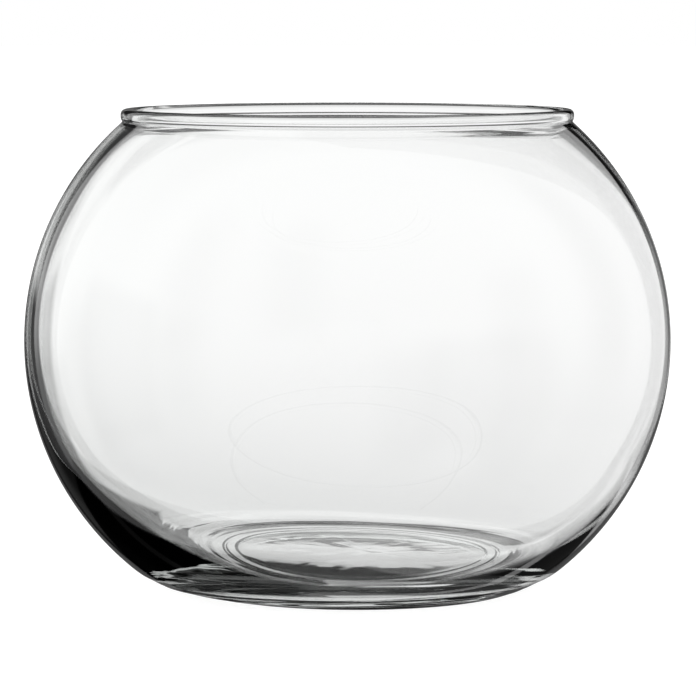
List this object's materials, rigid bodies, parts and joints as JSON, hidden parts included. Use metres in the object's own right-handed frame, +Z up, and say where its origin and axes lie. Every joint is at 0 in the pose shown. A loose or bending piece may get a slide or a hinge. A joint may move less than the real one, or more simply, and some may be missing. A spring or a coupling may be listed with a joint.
{
  "type": "rose bowl vase",
  "caption": "Round clear-glass rose bowl vase with a wide open mouth, a short upright lip and a thicker base, for flowers, sand or floating candles.",
  "frame": {"origin": "middle of the foot, on the plane that the bowl stands on", "axes": "+Z is up along the bowl's axis. X and Y may point anywhere, because the bowl is round."},
  "size_m": [0.152, 0.152, 0.1135],
  "materials": {
    "clear_glass": "fire-polished, clear and colourless"
  },
  "bodies": {
    "root": {"base": "clear_glass", "bowl_wall": "clear_glass", "lip": "clear_glass"}
  },
  "joints": []
}
